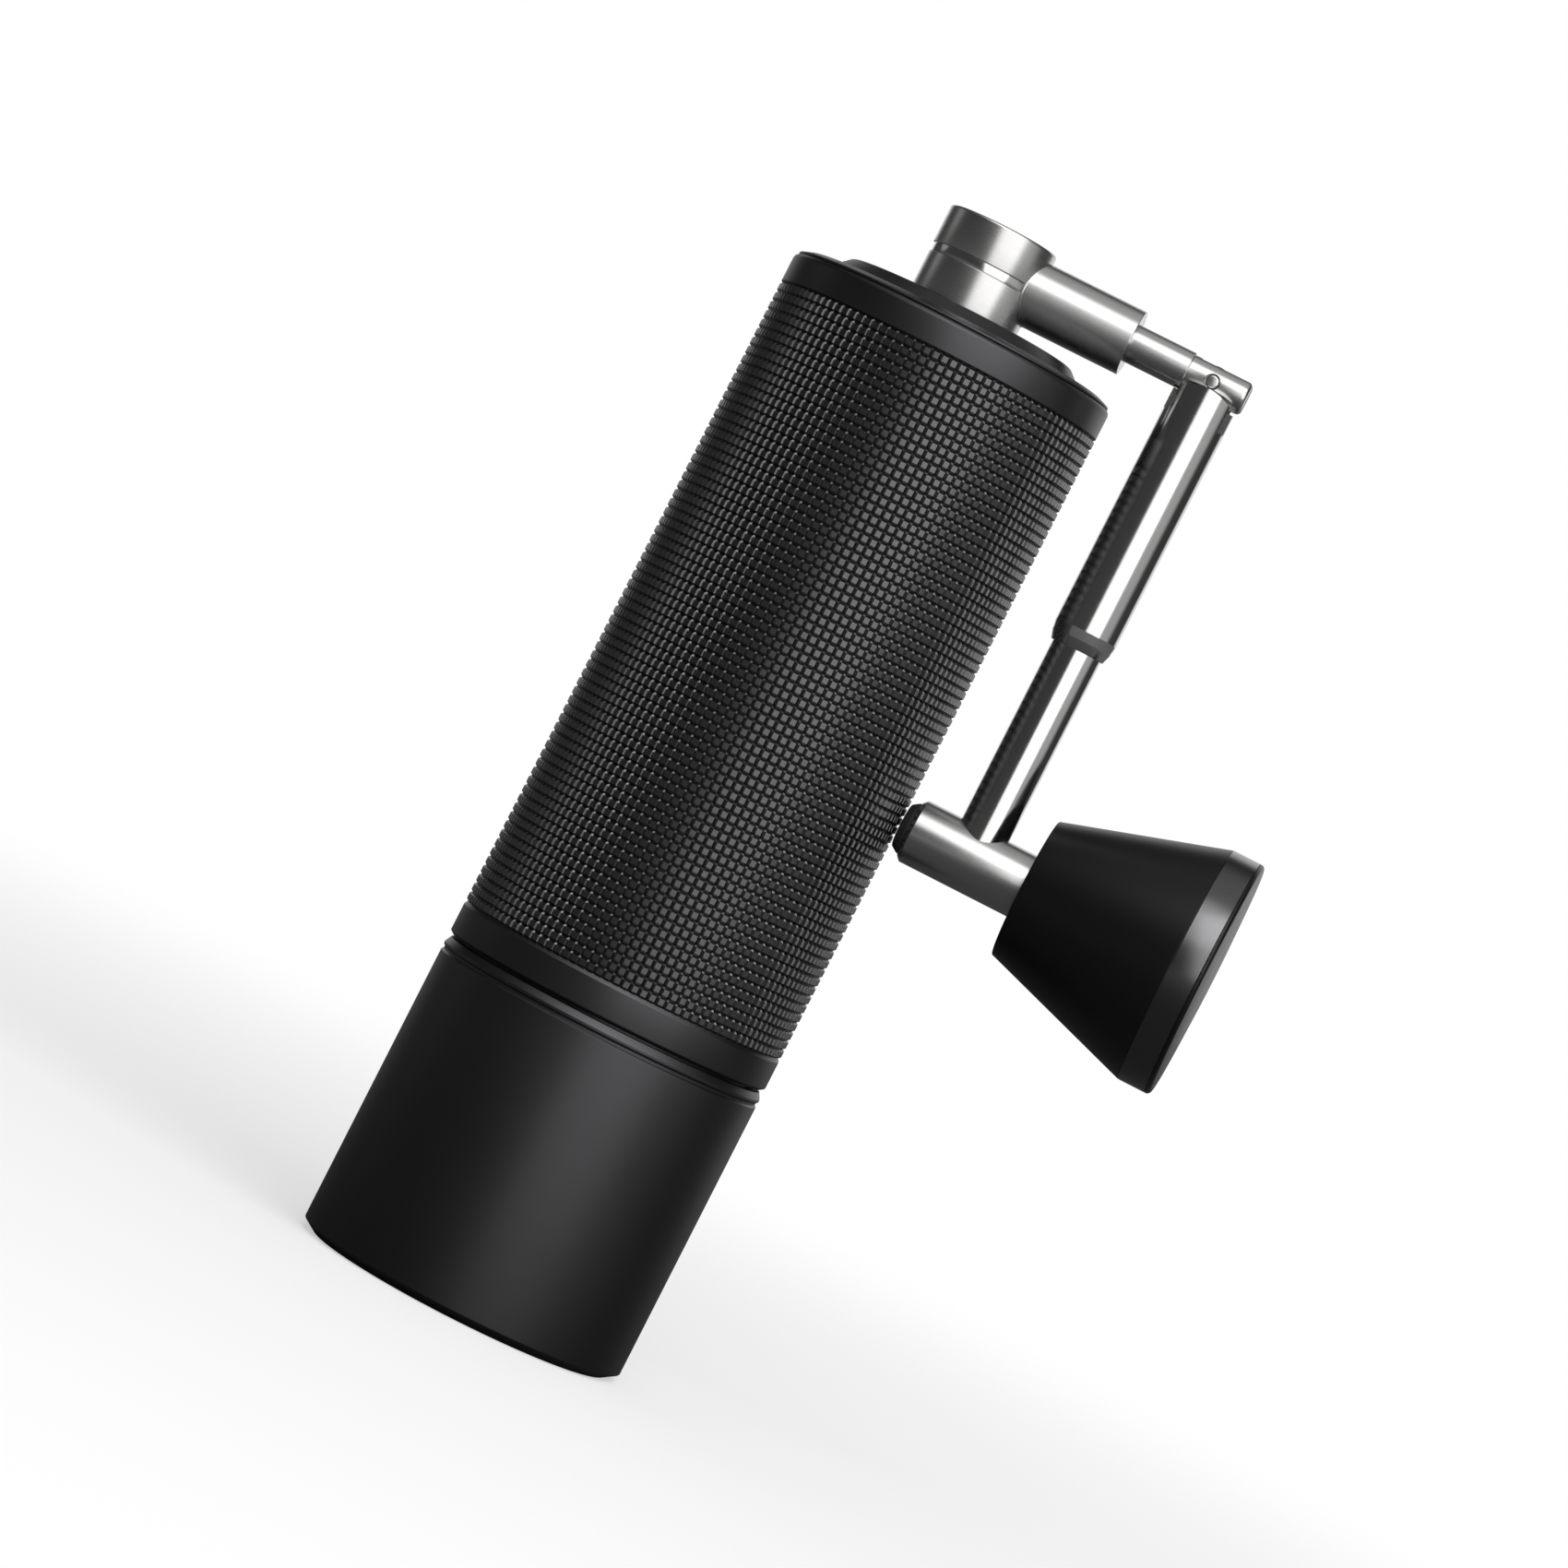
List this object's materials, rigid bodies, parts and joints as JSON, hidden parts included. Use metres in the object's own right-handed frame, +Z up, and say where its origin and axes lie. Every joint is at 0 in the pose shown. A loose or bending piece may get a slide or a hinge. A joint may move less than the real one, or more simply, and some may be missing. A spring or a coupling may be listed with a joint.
{
  "type": "hand crank coffee grinder",
  "caption": "Slim cylindrical hand coffee grinder: knurled body, screw-off grounds cup, conical burr mill and a folding steel crank with a conical knob.",
  "frame": {"origin": "centre of the flat base of the grounds cup", "axes": "+Z up along the body's axis, +X towards the folded crank arm"},
  "size_m": [0.1048, 0.053, 0.1808],
  "materials": {
    "black_anodised": "black anodised over fine bead blast",
    "knob_black": "satin black, moulded",
    "rubber_black": "matt moulded rubber",
    "silicone": "translucent silicone",
    "satin_steel": "fine satin stainless steel",
    "bright_steel": "ground steel",
    "ball_chrome": "polished",
    "burr_steel": "machined hardened steel",
    "spring_steel": "dark spring steel",
    "aluminium": "satin machined aluminium",
    "dial_black": "moulded with a fine texture",
    "bush_nylon": "turned nylon"
  },
  "bodies": {
    "grinder_body": {"body_shell": "black_anodised", "hopper_liner": "aluminium", "upper_bracket": "aluminium", "upper_outer_race": "bright_steel", "upper_balls": "ball_chrome", "lower_bracket": "aluminium", "lower_outer_race": "bright_steel", "lower_balls": "ball_chrome", "mill_housing": "black_anodised", "outer_burr": "burr_steel", "burr_screws": "spring_steel", "neck_seal": "rubber_black"},
    "lid": {"lid_cap": "black_anodised", "lid_gasket": "silicone", "lid_bush": "bush_nylon"},
    "crank": {"crank_hub": "satin_steel", "hub_clip": "spring_steel", "hinge_rod": "satin_steel", "hinge_pin": "satin_steel"},
    "arm": {"arm_tube": "satin_steel", "arm_rod": "satin_steel", "cross_tube": "satin_steel", "end_pad": "rubber_black", "knob_axle": "bright_steel"},
    "knob": {"knob_body": "knob_black", "knob_cap": "knob_black", "knob_bushes": "bush_nylon"},
    "mill_shaft": {"drive_shaft": "bright_steel", "shaft_clip": "spring_steel", "end_stop": "bright_steel", "upper_inner_race": "bright_steel", "lower_inner_race": "bright_steel"},
    "burr_carrier": {"inner_burr": "burr_steel", "burr_spring": "spring_steel", "click_plate": "bright_steel"},
    "grind_dial": {"adjust_dial": "dial_black", "click_balls": "ball_chrome"},
    "cup": {"grounds_cup": "black_anodised"}
  },
  "joints": [
    {"name": "lid_lift", "type": "slide", "parent": "grinder_body", "child": "lid", "axis": [0, 0, 1], "range_m": [0, 0.1]},
    {"name": "crank_spin", "type": "hinge", "parent": "lid", "child": "crank", "pos_m": [0, 0, 0.1666], "axis": [0, 0, 1], "continuous": true},
    {"name": "arm_fold", "type": "hinge", "parent": "crank", "child": "arm", "pos_m": [0.03845, 0, 0.1742], "axis": [0, -1, 0], "range_deg": [0, 90]},
    {"name": "knob_spin", "type": "hinge", "parent": "arm", "child": "knob", "pos_m": [0.0469, 0, 0.0942], "axis": [1, 0, 0], "continuous": true},
    {"name": "shaft_spin", "type": "hinge", "parent": "grinder_body", "child": "mill_shaft", "pos_m": [0, 0, 0.09], "axis": [0, 0, 1], "continuous": true},
    {"name": "dial_turn", "type": "hinge", "parent": "burr_carrier", "child": "grind_dial", "pos_m": [0, 0, 0.047], "axis": [0, 0, -1], "range_deg": [0, 720]},
    {"name": "burr_travel", "type": "slide", "parent": "mill_shaft", "child": "burr_carrier", "axis": [0, 0, -1], "range_m": [0, 0.002], "deforming": ["burr_spring"]},
    {"name": "cup_pull", "type": "slide", "parent": "grinder_body", "child": "cup", "axis": [0, 0, -1], "range_m": [0, 0.06]}
  ],
  "couplings": [
    {"joint": "shaft_spin", "follows": "crank_spin", "ratio": 1},
    {"joint": "dial_turn", "follows": "burr_travel", "rad_per_m": 6283}
  ]
}
